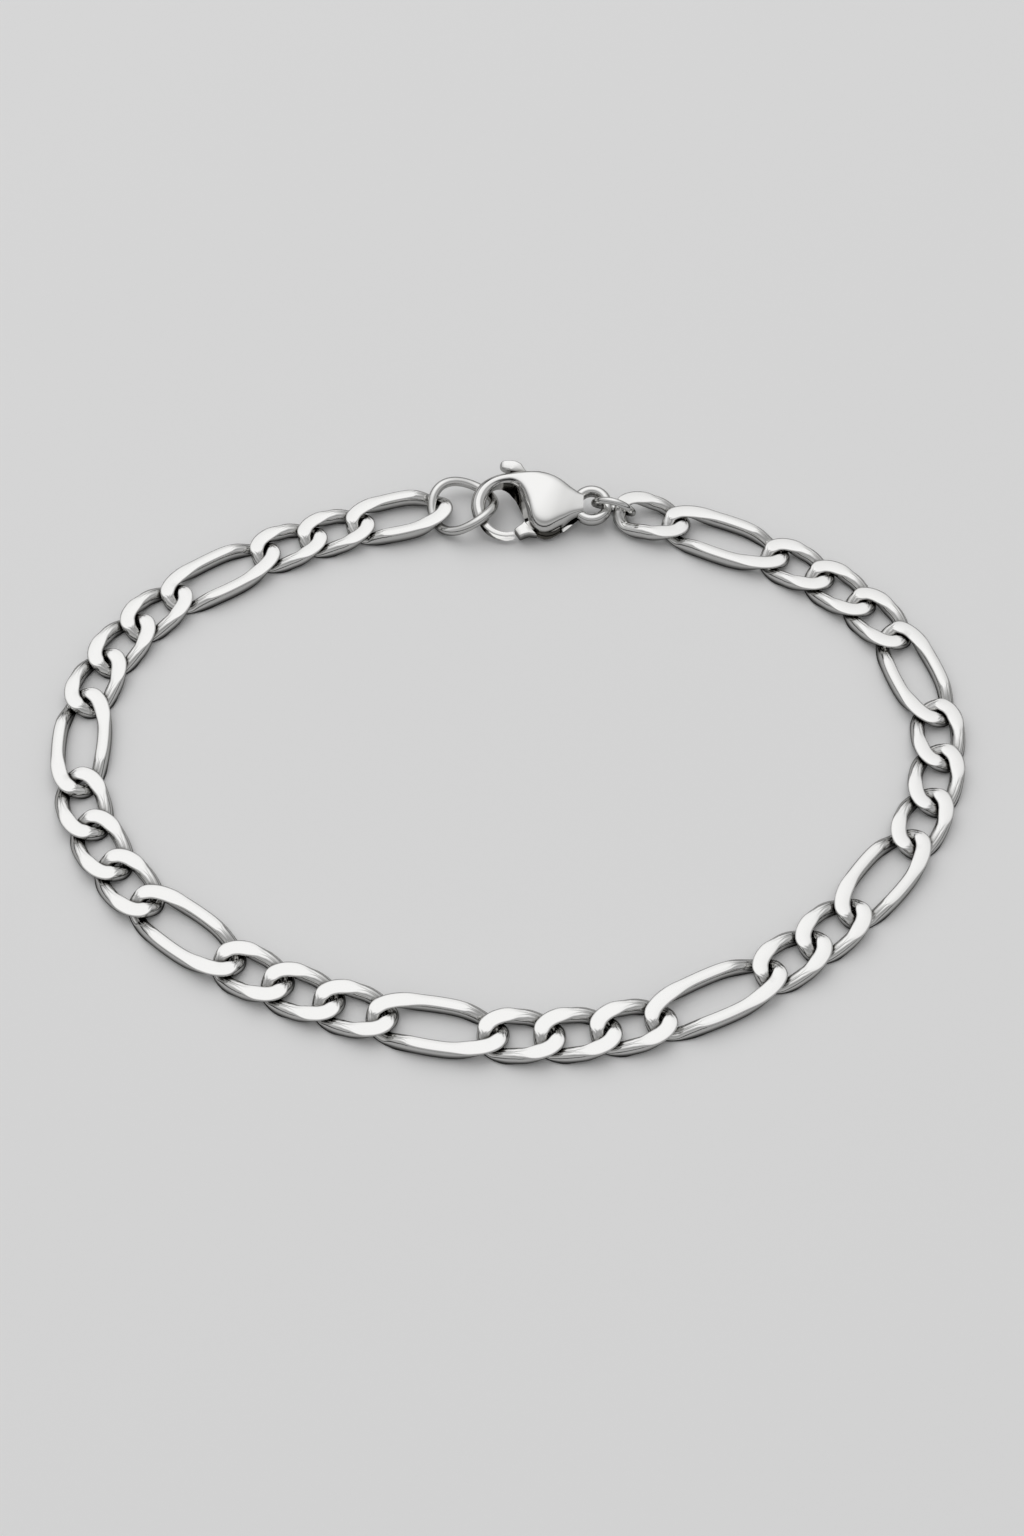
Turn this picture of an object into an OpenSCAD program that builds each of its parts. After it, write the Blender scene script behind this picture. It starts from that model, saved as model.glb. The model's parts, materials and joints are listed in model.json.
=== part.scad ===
// Figaro link bracelet with a lobster clasp, lying fastened on a flat surface.
// Millimetres. The origin is on the surface under the middle of the closed loop,
// +X runs along the loop's long way, +Y goes to the clasp and +Z goes up.

/* [Chain] */
// Length of chain that one small link adds
small_pitch = 4.5; // [4.2:0.1:5]
// Length of chain that one long link adds
long_pitch = 9; // [8:0.1:10]
// Thickness of the round wire that the links are bent from
wire_d = 1.25; // [1:0.05:1.3]
// Width of a small link over both arms
small_w = 4.7; // [4.6:0.1:5.4]
// Width of a long link over both arms
long_w = 5.1; // [5:0.1:5.8]
// Thickness of the chain over its ground flats
chain_t = 1.3; // [1.2:0.05:1.6]
// Play between two links, along the chain
link_play = 0.15; // [0.12:0.01:0.2]
// Play between two wires where one crosses over the other
cross_play = 0.3; // [0.25:0.05:0.4]

/* [Jump rings] */
// Wire of the large ring that the clasp hooks
large_ring_wire = 0.85; // [0.7:0.05:0.9]
// Large ring's diameter along the middle of its wire
large_ring_d = 5.35; // [5.1:0.05:5.6]
// How far the large ring's twist lifts its wire
large_ring_twist = 0.7; // [0.66:0.01:0.74]
// Wire of the small ring at the clasp's tail
small_ring_wire = 0.6; // [0.5:0.05:0.65]
// Small ring's diameter along the middle of its wire
small_ring_d = 3.7; // [3.6:0.05:4]
// Lean of the small ring out of the flat
small_ring_lean = 58; // [54:1:62]

/* [Clasp] */
// Length of the clasp, from its hook to the end of its tail eye
clasp_l = 12.75; // [12:0.05:13.5]
// Width of the clasp over its hook
clasp_w = 6.6; // [6.2:0.1:7]
// Thickness of the clasp at its bulb
clasp_t = 3; // [2.8:0.1:3.4]
// Tilt of the lying clasp, far side up
clasp_tilt = 15; // [12:1:16]
// Outer diameter of the tail eye
eye_d = 3.1; // [2.9:0.05:3.3]
// Hole in the tail eye
eye_hole_d = 1.75; // [1.5:0.05:1.8]
// Height of the tail eye along its hole
eye_t = 2; // [1.6:0.1:2.2]

/* [Lever] */
// Thickness of the lever's plate
lever_t = 0.8; // [0.6:0.05:1]
// Thickness of the gate's end and of the thumb nub, outside the clasp's body
gate_t = 1.15; // [1:0.05:1.3]
// Width of the gate and of the thumb arm
lever_arm_w = 0.9; // [0.8:0.05:1]
// Diameter of the pivot pin
pin_d = 0.8; // [0.6:0.05:0.9]
// Difference between the lever's bore and the pin
pin_play = 0.06; // [0.04:0.01:0.1]
// Opening angle of the lever
lever_open = 22; // [15:1:24]
// Gap between the lever and the walls of its slot
slot_play = 0.1; // [0.08:0.01:0.15]

/* [Hidden] */
STEEL = [0.80, 0.80, 0.81];
STEEL_DARK = [0.66, 0.67, 0.69];

// The chain's pattern, clockwise from the clasp's tail: a few small links, then a long one.
// Columns: number of small links, length of the long link as a share of long_pitch
SMALLS = 0;
LONG_SHARE = 1;
RUNS = [
    [1, 1.05],
    [3, 0.95],
    [3, 0.95],
    [2, 1.1],
    [3, 1],
    [3, 1],
    [3, 0.92],
    [3, 1],
    [2, 0.8],
];

// Points that draw the loop's line towards them, clockwise, the first at the clasp's tail.
// The loop is scaled as a whole to the chain's length.
ROUTE = [
    [10.8, 25.9], [20, 23], [29.5, 18], [36, 10], [37.5, -0.8], [33, -10.5],
    [25, -18.5], [15, -24.8], [3, -27.2], [-9.3, -25.4], [-21, -21.4], [-31.6, -13.9],
    [-37.5, -3], [-36.5, 8.5], [-30, 17], [-20, 22.4], [-9, 26], [1, 27],
];
ROUTE_STEPS = 12;
// Middle of the finished part's box before it is moved to the origin
CENTRE = [0, 0.62];

WIRE_SIDES = 6;
SMALL_STEPS = 24;
LONG_STEPS = 32;
// Fullness of a link's oval: 2 is an ellipse, and more is squarer
OVAL = 2.25;

// Straightening of the clasp's stretch against the curved line
clasp_slack = 0.15;
// Play between the large ring and the hook, and between it and the last link
hook_play = 0.18;
last_play = 0.15;
// Play between the small ring and the first link
first_play = 0.46;
// Room that the small ring's curve needs in the eye's hole
eye_play = 0.66;
// How far the tail eye sits to the far side of the clasp's line
eye_side = 0.15;
// Height of the tilted clasp's middle over half its thickness
clasp_lift = 0.2;
// Width of the hook's wire as a share of the clasp's length
HOOK_SHARE = 0.102;
// Gap under the level links
ground_play = 0.016;
// How far the large ring lifts the last link, and the small ring the first one
last_lift = 0.4;
first_lift = 0.5;

// One entry for each link, in order: [is it long, pitch]
LONG = 0;
PITCH = 1;
links = [for (run = RUNS) each concat([for (i = [1 : run[SMALLS]]) [false, small_pitch]],
                                      [[true, long_pitch * run[LONG_SHARE]]])];
link_count = len(links);
link_end = (wire_d + link_play) / 2;
link_rise = (wire_d + cross_play) / 2;
half_t = chain_t / 2;

// The clasp's stretch, as places along a line from the clasp's middle towards its tail
hook_w = clasp_l * HOOK_SHARE;
hook_inside = -clasp_l / 2 + hook_w;
large_ring_x = hook_inside + hook_play + (large_ring_wire - large_ring_d) / 2;
last_joint_x = large_ring_x - (large_ring_d - large_ring_wire) / 2 + last_play - link_play / 2;
eye_x = (clasp_l - eye_d) / 2;
small_ring_x = eye_x + eye_hole_d / 2 - eye_play + (small_ring_d - small_ring_wire) / 2;
first_joint_x = small_ring_x + (small_ring_d - small_ring_wire) / 2 - first_play + link_play / 2;
clasp_stretch = first_joint_x - last_joint_x;
clasp_z = clasp_t / 2 + clasp_lift;

function unit(v) = v / norm(v);
function power(v, e) = sign(v) * pow(abs(v), e);
function sum_first(v, count) = count <= 0 ? 0 : v[count - 1] + sum_first(v, count - 1);
function clamp(v, low, high) = max(low, min(high, v));

// The loop's line: a closed uniform cubic B-spline
function route_point(i, u) =
    let (n = len(ROUTE),
         p0 = ROUTE[(i + n - 1) % n],
         p1 = ROUTE[i],
         p2 = ROUTE[(i + 1) % n],
         p3 = ROUTE[(i + 2) % n])
    (pow(1 - u, 3) * p0 + (3 * pow(u, 3) - 6 * u * u + 4) * p1
     + (-3 * pow(u, 3) + 3 * u * u + 3 * u + 1) * p2 + pow(u, 3) * p3) / 6;

route_open = [for (i = [0 : len(ROUTE) - 1]) for (k = [0 : ROUTE_STEPS - 1])
              route_point(i, k / ROUTE_STEPS)];
route_line = concat(route_open, [route_open[0]]);
route_steps = [for (i = [1 : len(route_line) - 1]) norm(route_line[i] - route_line[i - 1])];
route_marks = [for (i = 0, s = 0; i < len(route_line); s = s + (i < len(route_steps) ? route_steps[i] : 0),
                    i = i + 1) s];
route_x = [for (i = [0 : len(route_line) - 1]) [route_marks[i], route_line[i].x]];
route_y = [for (i = [0 : len(route_line) - 1]) [route_marks[i], route_line[i].y]];

pitches = [for (l = links) l[PITCH]];
loop_length = sum_first(pitches, link_count) + clasp_stretch + clasp_slack;
route_scale = loop_length / route_marks[len(route_marks) - 1];

// Joint k lies between links k - 1 and k
function joint_lift(k) =
    ground_play
    + (k == 0 ? first_lift
       : k == 1 ? first_lift / 3
       : k == link_count - 1 ? last_lift / 6
       : k == link_count ? last_lift
       : 0);
function joint_at(k) =
    let (s = sum_first(pitches, k) / route_scale)
    [lookup(s, route_x) * route_scale - CENTRE.x, lookup(s, route_y) * route_scale - CENTRE.y,
     half_t + joint_lift(k)];

// Centreline of a twisted link, t in degrees round the oval
function link_line(t, half_l, half_w, rise) =
    [half_l * power(cos(t), 2 / OVAL), half_w * power(sin(t), 2 / OVAL), rise * sin(-90 * sin(2 * t))];

// Corners of a wire's section round a point of its centreline
function wire_section(at, along, r, sides, limit) =
    let (out = unit(cross(along, [0, 0, 1])), up = cross(out, unit(along)))
    [for (j = [0 : sides - 1])
        let (p = at + r * (cos(360 * j / sides) * out + sin(360 * j / sides) * up))
        [p.x, p.y, clamp(p.z, -limit, limit)]];

// Two triangles between neighbouring corners of two sections
function patch(a, b, j, sides) =
    let (k = (j + 1) % sides)
    [[a * sides + j, b * sides + k, b * sides + j], [a * sides + j, a * sides + k, b * sides + k]];

// A closed loop of twisted wire, ground flat above and below the limit
module twisted_loop(half_l, half_w, rise, r, steps, limit) {
    step = 360 / steps;
    sections = [for (i = [0 : steps - 1])
        let (t = (i + 0.5) * step,
             ahead = link_line(t + step / 8, half_l, half_w, rise),
             behind = link_line(t - step / 8, half_l, half_w, rise))
        wire_section(link_line(t, half_l, half_w, rise), ahead - behind, r, WIRE_SIDES, limit)];
    polyhedron(
        points = [for (s = sections) each s],
        faces = [for (i = [0 : steps - 1]) for (j = [0 : WIRE_SIDES - 1])
                 each patch(i, (i + 1) % steps, j, WIRE_SIDES)]
    );
}

// Sets a piece between two points, its own X running from one to the other
module between(a, b) {
    d = b - a;
    translate((a + b) / 2)
        rotate([0, -asin(d.z / norm(d)), atan2(d.y, d.x)])
            children();
}

module link(k) {
    long = links[k][LONG];
    color(STEEL)
        between(joint_at(k), joint_at(k + 1))
            twisted_loop(links[k][PITCH] / 2 + link_end, ((long ? long_w : small_w) - wire_d) / 2,
                         link_rise, wire_d / 2, long ? LONG_STEPS : SMALL_STEPS, half_t);
}

// Places on the clasp's line, which runs straight between the chain's two ends
first_joint = joint_at(0);
last_joint = joint_at(link_count);
clasp_run = unit([first_joint.x - last_joint.x, first_joint.y - last_joint.y]);
clasp_heading = atan2(clasp_run.y, clasp_run.x);
clasp_middle = ([first_joint.x, first_joint.y] + [last_joint.x, last_joint.y]) / 2
               - clasp_run * (first_joint_x + last_joint_x) / 2;

module on_clasp_line(x, z) {
    place = clasp_middle + clasp_run * x;
    translate([place.x, place.y, z])
        rotate([0, 0, clasp_heading])
            children();
}

module jump_ring_large() {
    ring_rise = clasp_z - half_t - last_lift;
    color(STEEL_DARK)
        on_clasp_line(large_ring_x, (clasp_z + half_t + last_lift) / 2)
            rotate([0, -atan(ring_rise / large_ring_d), 0])
                twisted_loop(large_ring_d / 2, large_ring_d / 2, large_ring_twist,
                             large_ring_wire / 2, SMALL_STEPS, large_ring_d);
}

// Stands on the surface, and leans so that it passes the middle of the eye's hole
module jump_ring_small() {
    ring_z = (small_ring_d * sin(small_ring_lean) + small_ring_wire) / 2;
    color(STEEL_DARK)
        on_clasp_line(small_ring_x, ring_z)
            translate([0, eye_side + (clasp_z - ring_z) / tan(small_ring_lean), 0])
                rotate([-small_ring_lean, 0, 0])
                    rotate_extrude($fn = 48)
                        translate([small_ring_d / 2, 0])
                            circle(d = small_ring_wire, $fn = 24);
}

// Sections of the clasp's body from the hook's tip round to the neck, each from its outer to its
// inner edge. Columns: outer x, outer y, inner x, inner y, half height, as shares of the clasp's
// length, width, length, width and thickness
SECTIONS = [
    [-0.168, -0.515, -0.175, -0.345, 0.17],
    [-0.250, -0.545, -0.248, -0.370, 0.19],
    [-0.343, -0.508, -0.316, -0.325, 0.195],
    [-0.422, -0.394, -0.359, -0.240, 0.2],
    [-0.476, -0.212, -0.385, -0.129, 0.2],
    [-0.500, 0.000, -0.398, 0.000, 0.2],
    [-0.472, 0.205, -0.380, 0.129, 0.21],
    [-0.406, 0.348, -0.339, 0.220, 0.23],
    [-0.312, 0.435, -0.285, 0.275, 0.27],
    [-0.202, 0.475, -0.218, 0.275, 0.33],
    [-0.100, 0.485, -0.158, 0.182, 0.41],
    [0.010, 0.465, -0.119, -0.030, 0.47],
    [0.086, 0.415, -0.067, -0.335, 0.5],
    [0.145, 0.350, 0.027, -0.430, 0.48],
    [0.204, 0.275, 0.145, -0.335, 0.43],
    [0.255, 0.210, 0.230, -0.200, 0.38],
    [0.294, 0.170, 0.294, -0.110, 0.35],
];
SECTION_SIDES = 12;
SECTION_FILL = 3;
// Fullness of the body's sections: 2 is an ellipse, and more is squarer
SECTION_OVAL = 2.5;

function between_rows(p0, p1, p2, p3, u) =
    p1 + u * (p2 - p0) / 2 + u * u * (2 * p0 - 5 * p1 + 4 * p2 - p3) / 2
    + u * u * u * (3 * p1 - p0 - 3 * p2 + p3) / 2;
function row(i) = SECTIONS[clamp(i, 0, len(SECTIONS) - 1)];
body_rows = concat([for (i = [0 : len(SECTIONS) - 2]) for (k = [0 : SECTION_FILL - 1])
                    between_rows(row(i - 1), row(i), row(i + 1), row(i + 2), k / SECTION_FILL)],
                   [row(len(SECTIONS) - 1)]);

function body_section(r) =
    let (outer = [r[0] * clasp_l, r[1] * clasp_w, 0],
         inner = [r[2] * clasp_l, r[3] * clasp_w, 0],
         half_h = r[4] * clasp_t)
    [for (j = [0 : SECTION_SIDES - 1])
        let (a = -360 * j / SECTION_SIDES)
        (outer + inner) / 2 + power(cos(a), 2 / SECTION_OVAL) * (outer - inner) / 2
        + [0, 0, power(sin(a), 2 / SECTION_OVAL) * half_h]];

module body_form() {
    last = len(body_rows) - 1;
    polyhedron(
        points = [for (r = body_rows) each body_section(r)],
        faces = concat(
            [[for (j = [SECTION_SIDES - 1 : -1 : 0]) j]],
            [for (i = [0 : last - 1]) for (j = [0 : SECTION_SIDES - 1])
                each patch(i, i + 1, j, SECTION_SIDES)],
            [[for (j = [0 : SECTION_SIDES - 1]) last * SECTION_SIDES + j]]
        )
    );
}

// The lever's pivot and arms, in the clasp's own plane
pivot = [0.069 * clasp_l, -0.106 * clasp_w];
gate_tip = [-0.170 * clasp_l, -0.435 * clasp_w];
thumb_root = [-0.175 * clasp_l, 0.558 * clasp_w];
thumb_end = [-0.240 * clasp_l, 0.562 * clasp_w];
gate_reach = norm(gate_tip - pivot);
thumb_reach = norm(thumb_root - pivot);
gate_angle = atan2(gate_tip.y - pivot.y, gate_tip.x - pivot.x) + 360;
thumb_angle = atan2(thumb_root.y - pivot.y, thumb_root.x - pivot.x);
// Distance from the pivot at which the gate leaves the slot
gate_root = 2.45;
hub_d = 1.9;
// Gap between the gate's end and the hook's tip
tip_gap = 0.1;
slot_t = lever_t + 2 * slot_play;
// Directions from the pivot to the slot's lower end and to its back
SLOT_LOW = -55;
SLOT_BACK = -30;
// Length of the pin as a share of the clasp's thickness, and its fit in the body
PIN_SHARE = 0.73;
pin_l = clasp_t * PIN_SHARE;
pin_fit = 0.02;

// A point at a distance from the pivot, and to the left of the line that runs out to it
function arm_point(angle, reach, left) =
    pivot + reach * [cos(angle), sin(angle)] + left * [-sin(angle), cos(angle)];

module on_clasp() {
    on_clasp_line(0, clasp_z)
        rotate([clasp_tilt, 0, 0])
            children();
}

module lever_slot() {
    side = lever_arm_w / 2 + slot_play;
    open_thumb = thumb_angle - lever_open;
    open_gate = gate_angle - lever_open;
    far = clasp_l;
    linear_extrude(slot_t, center = true) {
        translate(pivot)
            circle(d = hub_d + 2 * slot_play, $fn = 32);
        polygon([arm_point(thumb_angle, 0, side), arm_point(thumb_angle, far, side),
                 arm_point(open_thumb, far, -side), arm_point(open_thumb, 0, -side)]);
        polygon([arm_point(open_gate, 0, -side), arm_point(open_gate, far, -side),
                 arm_point(gate_angle, far, side), arm_point(SLOT_LOW, far, 0),
                 arm_point(SLOT_BACK, hub_d / 2, 0)]);
    }
}

module clasp_body() {
    color(STEEL)
        on_clasp() {
            difference() {
                body_form();
                lever_slot();
                translate([pivot.x, pivot.y, 0])
                    cylinder(d = pin_d + pin_fit, h = pin_l + 2 * pin_fit, center = true, $fn = 32);
            }
            translate([eye_x, eye_side, 0])
                rotate_extrude($fn = 48)
                    translate([(eye_d + eye_hole_d) / 4, 0])
                        intersection() {
                            circle(d = eye_t, $fn = 32);
                            square([(eye_d - eye_hole_d) / 2, eye_t], center = true);
                        }
        }
}

module clasp_lever() {
    half_w = lever_arm_w / 2;
    color(STEEL_DARK)
        on_clasp()
            difference() {
                union() {
                    linear_extrude(lever_t, center = true) {
                        translate(pivot)
                            circle(d = hub_d, $fn = 32);
                        polygon([arm_point(gate_angle, 0, half_w), arm_point(gate_angle, gate_root, half_w),
                                 arm_point(gate_angle, gate_root, -half_w), arm_point(gate_angle, 0, -half_w)]);
                        polygon([arm_point(thumb_angle, 0, half_w), arm_point(thumb_angle, thumb_reach, half_w),
                                 arm_point(thumb_angle, thumb_reach, -half_w), arm_point(thumb_angle, 0, -half_w)]);
                        translate(thumb_root)
                            circle(d = lever_arm_w, $fn = 24);
                    }
                    linear_extrude(gate_t, center = true) {
                        polygon([arm_point(gate_angle, gate_root, half_w),
                                 arm_point(gate_angle, gate_reach - tip_gap, half_w),
                                 arm_point(gate_angle, gate_reach - tip_gap, -half_w),
                                 arm_point(gate_angle, gate_root, -half_w)]);
                        hull() {
                            translate(thumb_root)
                                circle(d = lever_arm_w, $fn = 24);
                            translate(thumb_end)
                                circle(d = lever_arm_w, $fn = 24);
                        }
                    }
                }
                translate([pivot.x, pivot.y, 0])
                    cylinder(d = pin_d + pin_play, h = clasp_t, center = true, $fn = 32);
            }
}

module clasp_pin() {
    color(STEEL_DARK)
        on_clasp()
            translate([pivot.x, pivot.y, 0])
                cylinder(d = pin_d, h = pin_l, center = true, $fn = 32);
}

function of_kind_up_to(k) = len([for (i = [0 : k]) if (links[i][LONG] == links[k][LONG]) i]);
function two_digits(n) = n < 10 ? str("0", n) : str(n);
function link_name(k) = links[k][LONG] ? str("link_long_", of_kind_up_to(k))
                                       : str("link_small_", two_digits(of_kind_up_to(k)));

for (k = [0 : link_count - 1]) link(k);
jump_ring_large();
jump_ring_small();
clasp_body();
clasp_lever();
clasp_pin();
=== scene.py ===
"""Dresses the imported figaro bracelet: ground-flat links, jump rings, lobster clasp and studio."""
import json
import math

import bmesh
import bpy
import numpy as np
from bpy.props import FloatProperty, FloatVectorProperty, PointerProperty
from mathutils import Matrix, Vector
from mathutils.bvhtree import BVHTree

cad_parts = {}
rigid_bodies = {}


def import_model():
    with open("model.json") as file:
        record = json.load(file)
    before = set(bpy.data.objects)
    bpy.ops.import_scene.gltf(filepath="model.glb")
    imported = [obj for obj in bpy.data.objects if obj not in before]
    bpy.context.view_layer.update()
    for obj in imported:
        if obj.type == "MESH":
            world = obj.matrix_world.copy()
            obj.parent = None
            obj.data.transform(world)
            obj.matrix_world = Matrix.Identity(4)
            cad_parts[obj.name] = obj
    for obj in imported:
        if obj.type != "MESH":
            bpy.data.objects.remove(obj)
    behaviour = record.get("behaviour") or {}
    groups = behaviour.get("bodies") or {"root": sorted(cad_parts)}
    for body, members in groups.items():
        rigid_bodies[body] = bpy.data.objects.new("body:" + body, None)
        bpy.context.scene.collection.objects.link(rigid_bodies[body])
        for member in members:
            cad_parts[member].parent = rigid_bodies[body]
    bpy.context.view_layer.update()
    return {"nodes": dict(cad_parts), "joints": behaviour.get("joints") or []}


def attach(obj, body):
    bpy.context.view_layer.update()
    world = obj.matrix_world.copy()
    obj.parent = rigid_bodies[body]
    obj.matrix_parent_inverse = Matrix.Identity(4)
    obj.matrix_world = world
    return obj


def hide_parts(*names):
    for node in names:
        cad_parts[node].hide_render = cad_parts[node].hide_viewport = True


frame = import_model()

bl_info = {
    "name": "Figaro bracelet dressing",
    "version": (1, 0, 0),
    "blender": (4, 5, 0),
    "location": "3D View > Sidebar > Bracelet",
    "description": "Builds the polished links, jump rings and clasp of a figaro bracelet round its frame",
    "category": "Add Mesh",
}

MM = 0.001
FIXED = "bracelet"
MOVING = "lever"
NODES = frame["nodes"]
LINK_NAMES = [name for name in sorted(NODES) if name.startswith("link_")]
HINGE = frame["joints"][0]


# Sizes and colours

def length_setting(name, description, default, low, high):
    """A length, given in millimetres."""
    return FloatProperty(name=name, description=description, default=default * MM, min=low * MM,
                         max=high * MM, unit="LENGTH", precision=5)


def colour_setting(name, description, default):
    return FloatVectorProperty(name=name, description=description, default=default, min=0, max=1,
                               subtype="COLOR", size=3)


def share_setting(name, description, default, high):
    return FloatProperty(name=name, description=description, default=default, min=0.0, max=high,
                         subtype="FACTOR")


class ChainSizes(bpy.types.PropertyGroup):
    """Sizes of the links' wire, in metres"""
    wire_half: length_setting(
        "Wire half width", "Half the width of a link's wire, across the link", 0.61, 0.4, 0.7)
    small_crown: length_setting(
        "Small link wire half height", "Half the height of a small link's arm before grinding",
        0.678, 0.5, 0.9)
    long_crown: length_setting(
        "Long link wire half height", "Half the height of a long link's arm before grinding",
        0.81, 0.5, 0.9)
    end_crown: length_setting(
        "Link end half height", "Half the height of the wire at a link's ends", 0.57, 0.4, 0.65)
    ground_half: length_setting(
        "Half thickness", "Height of the ground flats above the chain's middle", 0.65, 0.5, 0.8)
    twist: length_setting(
        "Twist", "How far the wire rises and dips where two links cross", 0.71, 0.4, 0.8)
    edge: length_setting(
        "Edge", "Rounding of the edge round each ground flat", 0.04, 0.0, 0.1)


class RingSizes(bpy.types.PropertyGroup):
    """Sizes of the two jump rings, in metres"""
    large_wire: length_setting(
        "Large ring wire", "Wire diameter of the ring that the clasp hooks", 0.85, 0.6, 1.0)
    large_twist: length_setting(
        "Large ring twist", "How far the large ring's wire rises and dips", 0.62, 0.0, 0.8)
    small_wire: length_setting(
        "Small ring wire", "Wire diameter of the ring at the clasp's tail", 0.63, 0.4, 0.8)
    small_lean: FloatProperty(
        name="Small ring lean", description="Turn of the small ring about the clasp's line from its frame",
        default=math.radians(-4), min=-0.5, max=0.5, subtype="ANGLE")
    small_saddle: length_setting(
        "Small ring saddle", "How far the small ring's two ends bend down from its middle", 0.13, 0.0, 0.5)
    split: length_setting(
        "Split", "Width of the hairline where a ring's two ends meet", 0.05, 0.0, 0.15)


class ClaspSizes(bpy.types.PropertyGroup):
    """Sizes of the lobster clasp, in metres"""
    length: length_setting(
        "Length", "From the hook to the end of the tail eye", 12.75, 10, 15)
    width: length_setting(
        "Width", "Over the hook", 6.6, 5, 8)
    thickness: length_setting(
        "Thickness", "Through the bulb", 3.0, 2, 4)
    shoulder: length_setting(
        "Shoulder", "Width of the rounded shoulder beside the crowned face", 0.5, 0.2, 0.9)
    eye_outer: length_setting(
        "Eye", "Outer diameter of the tail eye", 3.75, 2.5, 4)
    eye_hole: length_setting(
        "Eye hole", "Hole in the tail eye", 1.85, 1, 2.4)
    eye_height: length_setting(
        "Eye height", "Height of the tail eye along its hole", 1.35, 0.8, 2.5)
    gate: length_setting(
        "Gate thickness", "Thickness of the lever's gate and thumb nub", 1.15, 0.8, 1.4)
    plate: length_setting(
        "Plate thickness", "Thickness of the lever inside the clasp", 0.8, 0.5, 1.0)
    slot: length_setting(
        "Slot", "Height of the slot that the lever turns in", 1.04, 0.8, 1.4)


class SteelFinish(bpy.types.PropertyGroup):
    """Colour and polish of the steel, and the colour and reach of the painted shade in its recesses"""
    polished: colour_setting(
        "Polished steel", "Colour of the polished steel", (0.805, 0.802, 0.792))
    dulled: colour_setting(
        "Dulled steel", "Colour where handling has dulled the steel", (0.76, 0.757, 0.74))
    edge: colour_setting(
        "Edge tint", "Colour of the steel seen nearly edge on", (0.6, 0.596, 0.58))
    # Painted shade: this colour darkens the steel where pieces nearly touch, near the surface and inside
    # narrow cavities, where shade falls
    painted_shade: colour_setting(
        "Painted shade", "Colour of the painted_recess_shade where two pieces nearly touch", (0.09, 0.083, 0.07))
    painted_shade_reach: length_setting(
        "Tarnish reach", "How far the painted_recess_shade spreads from where two pieces nearly touch", 0.36, 0.05, 1.0)
    # Cavities narrower than this get painted shade inside
    cavity: length_setting(
        "Cavity width", "Widest cavity within one piece that tarnishes inside", 2.0, 0.1, 3.0)
    gloss: share_setting(
        "Polish roughness", "Roughness of the best polished surface", 0.06, 1.0)


class StudioLook(bpy.types.PropertyGroup):
    """Surface and light of the studio"""
    paper: colour_setting(
        "Surface", "Colour of the pale surface under the bracelet", (0.86, 0.86, 0.86))
    # Painted shade: how dark the surface looks in the steel's reflections, and right under the steel
    mirrored: share_setting(
        "Surface in the steel", "Brightness of the surface where the steel mirrors it", 0.62, 1.0)
    shaded: share_setting(
        "Surface close to the steel", "Brightness of the mirrored surface right under the steel", 0.06, 1.0)
    key_power: FloatProperty(
        name="Key light", description="Power of the large soft light over the far side",
        default=1.1, min=0.0, max=50.0, unit="POWER")
    sky: share_setting(
        "Room light", "Strength of all the light from the room", 1.0, 5.0)
    dome: share_setting(
        "Overhead light", "Brightness of the wide soft light overhead and behind", 1.12, 5.0)
    dome_reach: FloatProperty(
        name="Overhead reach", description="How far from its middle the wide light fades out",
        default=math.radians(56), min=0.3, max=1.5, subtype="ANGLE")
    dome_at: FloatVectorProperty(
        name="Overhead place", description="Direction of the middle of the wide light",
        subtype="DIRECTION", size=3, default=(-0.12, 0.36, 0.9))


# Mesh helpers. Shapes are worked out in millimetres and placed in metres.

def power(value, exponent):
    """A power that keeps the sign."""
    return math.copysign(abs(value) ** exponent, value)


def mix(a, b, share):
    return a + (b - a) * share


def smooth_share(value, low, high):
    """0 below low, 1 above high, and a smooth ramp between."""
    share = min(max((value - low) / (high - low), 0.0), 1.0)
    return share * share * (3 - 2 * share)


def spun_loop(steps, sides, place):
    """A closed loop of wire: a circle spun round, each corner then set where place(turn, corner) says."""
    core = 3.0
    bm = bmesh.new()
    upright = Matrix.Translation((core, 0, 0)) @ Matrix.Rotation(math.pi / 2, 4, "X")
    bmesh.ops.create_circle(bm, segments=sides, radius=1.0, matrix=upright)
    bmesh.ops.spin(bm, geom=bm.verts[:] + bm.edges[:], cent=(0, 0, 0), axis=(0, 0, 1),
                   angle=math.tau, steps=steps, use_merge=True)
    for vert in bm.verts:
        turn = round(math.atan2(vert.co.y, vert.co.x) / math.tau * steps) % steps
        out = math.hypot(vert.co.x, vert.co.y) - core
        corner = round(math.atan2(vert.co.z, out) / math.tau * sides) % sides
        vert.co = place(turn, corner)
    bmesh.ops.remove_doubles(bm, verts=bm.verts[:], dist=1e-5)
    bmesh.ops.recalc_face_normals(bm, faces=bm.faces[:])
    return bm


def drawn_tube(rings, sides, place):
    """A closed tube: a circle drawn along a line, each corner then set where place(ring, corner) says."""
    bm = bmesh.new()
    bmesh.ops.create_circle(bm, segments=sides, radius=1.0)
    bmesh.ops.spin(bm, geom=bm.verts[:] + bm.edges[:], cent=(0, 0, 0), axis=(0, 0, 1),
                   dvec=(0, 0, 1), angle=0.0, steps=rings - 1)
    ends = [edge for edge in bm.edges if edge.is_boundary]
    bmesh.ops.holes_fill(bm, edges=ends, sides=0)
    for vert in bm.verts:
        corner = round(math.atan2(vert.co.y, vert.co.x) / math.tau * sides) % sides
        vert.co = place(round(vert.co.z), corner)
    bmesh.ops.recalc_face_normals(bm, faces=bm.faces[:])
    return bm


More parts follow.
